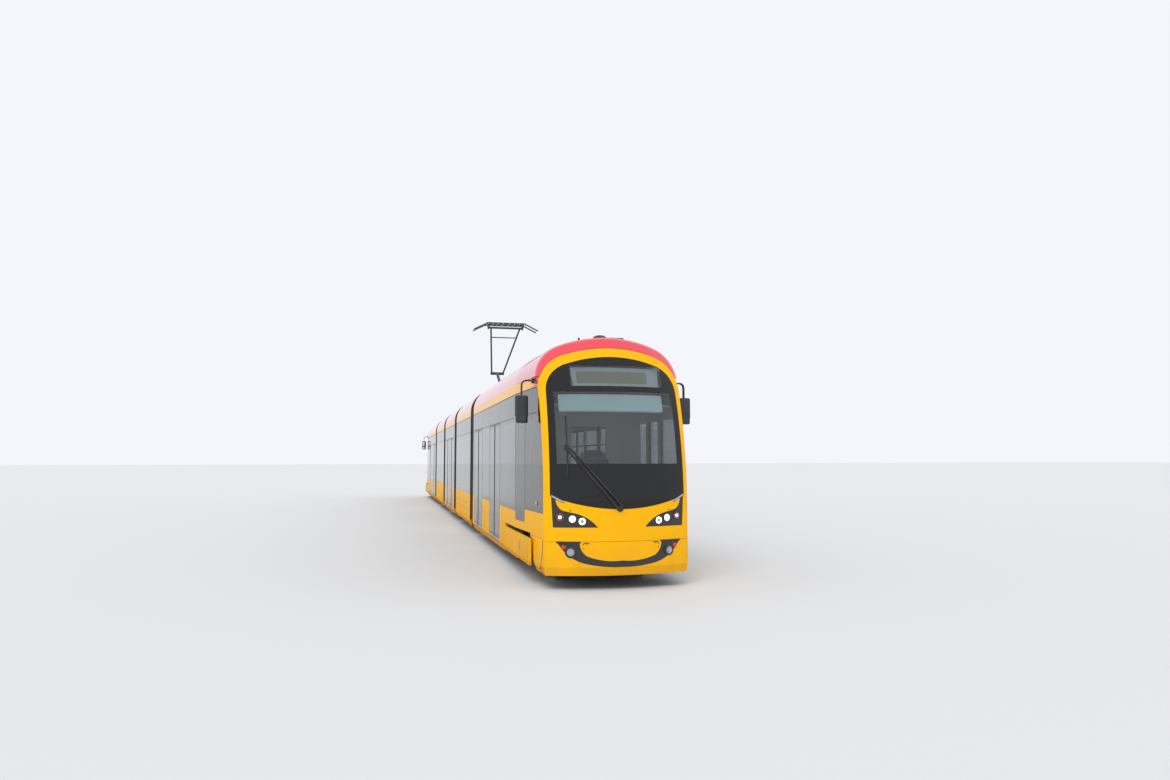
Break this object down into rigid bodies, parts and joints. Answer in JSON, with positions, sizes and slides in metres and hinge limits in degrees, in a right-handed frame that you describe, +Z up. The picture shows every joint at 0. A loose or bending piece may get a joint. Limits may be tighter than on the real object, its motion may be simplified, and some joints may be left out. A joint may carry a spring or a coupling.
{
  "type": "articulated low-floor tram",
  "caption": "Articulated low-floor tram with a cab at each end, plug doors on both sides, bellows between the sections, turning bogies and a raised pantograph.",
  "frame": {"origin": "midway along the tram, on its centre line, at the bottom of the wheel flanges, 25 mm below the rail head", "axes": "+Z up, +Y from the front cab in the picture towards the rear cab, +X towards the tram's left side, the viewer's right in the picture"},
  "size_m": [2.78, 33.06, 5.6499],
  "materials": {
    "body_paint": "gloss yellow paint on steel panels",
    "dark_glass": "flush dark tinted safety glass",
    "door_frame": "black coated aluminium frames",
    "roof_red": "gloss red composite fairing",
    "case_grey": "light grey coated roof cases",
    "mask_yellow": "gloss yellow composite mask",
    "lamp_black": "gloss black housings with clear lenses",
    "mirror_black": "matt black moulded housing on a steel tube",
    "wiper_black": "black coated arm with a rubber blade",
    "bellows_grey": "coated fabric folds",
    "bogie_grey": "dark grey painted welded steel",
    "wheel_steel": "rolled steel, bright on the tread",
    "pantograph_grey": "dark painted steel tube, carbon strips",
    "interior_grey": "moulded seats with padded faces, steel poles"
  },
  "bodies": {
    "section_middle": {"shell_middle": "body_paint", "glass_middle": "dark_glass", "doors_middle": "door_frame", "fairing_middle": "roof_red", "roof_cases_middle": "case_grey", "interior_middle": "interior_grey"},
    "section_bogie_front": {"shell_bogie_front": "body_paint", "glass_bogie_front": "dark_glass", "fairing_bogie_front": "roof_red", "pantograph_base": "case_grey", "interior_bogie_front": "interior_grey", "bellows_inner_front": "bellows_grey"},
    "section_bogie_rear": {"shell_bogie_rear": "body_paint", "glass_bogie_rear": "dark_glass", "fairing_bogie_rear": "roof_red", "roof_cases_bogie_rear": "case_grey", "interior_bogie_rear": "interior_grey", "bellows_inner_rear": "bellows_grey"},
    "section_front": {"shell_front": "body_paint", "glass_front": "dark_glass", "doors_front": "door_frame", "fairing_front": "roof_red", "roof_cases_front": "case_grey", "interior_front": "interior_grey", "mask_front": "mask_yellow", "bumper_front": "mask_yellow", "lamps_front": "lamp_black", "mirrors_front": "mirror_black", "wiper_front": "wiper_black", "bellows_outer_front": "bellows_grey"},
    "section_rear": {"shell_rear": "body_paint", "glass_rear": "dark_glass", "doors_rear": "door_frame", "fairing_rear": "roof_red", "roof_cases_rear": "case_grey", "interior_rear": "interior_grey", "mask_rear": "mask_yellow", "bumper_rear": "mask_yellow", "lamps_rear": "lamp_black", "mirrors_rear": "mirror_black", "wiper_rear": "wiper_black", "bellows_outer_rear": "bellows_grey"},
    "pantograph_lower_arm": {"pantograph_lower_arm": "pantograph_grey"},
    "pantograph_upper_arm": {"pantograph_upper_arm": "pantograph_grey"},
    "pantograph_head": {"pantograph_head": "pantograph_grey"},
    "bogie_1": {"bogie_frame_1": "bogie_grey"},
    "axle_1": {"wheelset_1": "wheel_steel"},
    "axle_2": {"wheelset_2": "wheel_steel"},
    "bogie_2": {"bogie_frame_2": "bogie_grey"},
    "axle_3": {"wheelset_3": "wheel_steel"},
    "axle_4": {"wheelset_4": "wheel_steel"},
    "bogie_3": {"bogie_frame_3": "bogie_grey"},
    "axle_5": {"wheelset_5": "wheel_steel"},
    "axle_6": {"wheelset_6": "wheel_steel"},
    "bogie_4": {"bogie_frame_4": "bogie_grey"},
    "axle_7": {"wheelset_7": "wheel_steel"},
    "axle_8": {"wheelset_8": "wheel_steel"}
  },
  "joints": [
    {"name": "inner_pivot_front", "type": "hinge", "parent": "section_middle", "child": "section_bogie_front", "pos_m": [0, -2.31, 0.285], "axis": [0, 0, 1], "range_deg": [-20, 20], "deforming": ["bellows_inner_front"]},
    {"name": "outer_pivot_front", "type": "hinge", "parent": "section_bogie_front", "child": "section_front", "pos_m": [0, -7.18, 0.285], "axis": [0, 0, 1], "range_deg": [-20, 20], "deforming": ["bellows_outer_front"]},
    {"name": "inner_pivot_rear", "type": "hinge", "parent": "section_middle", "child": "section_bogie_rear", "pos_m": [0, 2.31, 0.285], "axis": [0, 0, 1], "range_deg": [-20, 20], "deforming": ["bellows_inner_rear"]},
    {"name": "outer_pivot_rear", "type": "hinge", "parent": "section_bogie_rear", "child": "section_rear", "pos_m": [0, 7.18, 0.285], "axis": [0, 0, 1], "range_deg": [-20, 20], "deforming": ["bellows_outer_rear"]},
    {"name": "bogie_1_yaw", "type": "hinge", "parent": "section_front", "child": "bogie_1", "pos_m": [0, -14.2, 0.425], "axis": [0, 0, 1], "range_deg": [-8, 8]},
    {"name": "axle_1_spin", "type": "hinge", "parent": "bogie_1", "child": "axle_1", "pos_m": [0, -15.1, 0.325], "axis": [1, 0, 0], "continuous": true},
    {"name": "axle_2_spin", "type": "hinge", "parent": "bogie_1", "child": "axle_2", "pos_m": [0, -13.3, 0.325], "axis": [1, 0, 0], "continuous": true},
    {"name": "bogie_2_yaw", "type": "hinge", "parent": "section_bogie_front", "child": "bogie_2", "pos_m": [0, -4.745, 0.425], "axis": [0, 0, 1], "range_deg": [-4, 4]},
    {"name": "axle_3_spin", "type": "hinge", "parent": "bogie_2", "child": "axle_3", "pos_m": [0, -5.645, 0.325], "axis": [1, 0, 0], "continuous": true},
    {"name": "axle_4_spin", "type": "hinge", "parent": "bogie_2", "child": "axle_4", "pos_m": [0, -3.845, 0.325], "axis": [1, 0, 0], "continuous": true},
    {"name": "bogie_3_yaw", "type": "hinge", "parent": "section_bogie_rear", "child": "bogie_3", "pos_m": [0, 4.745, 0.425], "axis": [0, 0, 1], "range_deg": [-4, 4]},
    {"name": "axle_5_spin", "type": "hinge", "parent": "bogie_3", "child": "axle_5", "pos_m": [0, 3.845, 0.325], "axis": [1, 0, 0], "continuous": true},
    {"name": "axle_6_spin", "type": "hinge", "parent": "bogie_3", "child": "axle_6", "pos_m": [0, 5.645, 0.325], "axis": [1, 0, 0], "continuous": true},
    {"name": "bogie_4_yaw", "type": "hinge", "parent": "section_rear", "child": "bogie_4", "pos_m": [0, 14.2, 0.425], "axis": [0, 0, 1], "range_deg": [-8, 8]},
    {"name": "axle_7_spin", "type": "hinge", "parent": "bogie_4", "child": "axle_7", "pos_m": [0, 13.3, 0.325], "axis": [1, 0, 0], "continuous": true},
    {"name": "axle_8_spin", "type": "hinge", "parent": "bogie_4", "child": "axle_8", "pos_m": [0, 15.1, 0.325], "axis": [1, 0, 0], "continuous": true},
    {"name": "pantograph_raise", "type": "hinge", "parent": "section_bogie_front", "child": "pantograph_lower_arm", "pos_m": [0, -4.15, 3.725], "axis": [1, 0, 0], "range_deg": [-26, 14]},
    {"name": "pantograph_knee", "type": "hinge", "parent": "pantograph_lower_arm", "child": "pantograph_upper_arm", "pos_m": [0, -2.9, 4.425], "axis": [1, 0, 0], "range_deg": [-31, 57.2]},
    {"name": "pantograph_head_tilt", "type": "hinge", "parent": "pantograph_upper_arm", "child": "pantograph_head", "pos_m": [0, -4.6, 5.545], "axis": [1, 0, 0], "range_deg": [-31.2, 16.8]}
  ],
  "couplings": [
    {"joint": "pantograph_knee", "follows": "pantograph_raise", "ratio": -2.187},
    {"joint": "pantograph_head_tilt", "follows": "pantograph_raise", "ratio": 1.187}
  ]
}
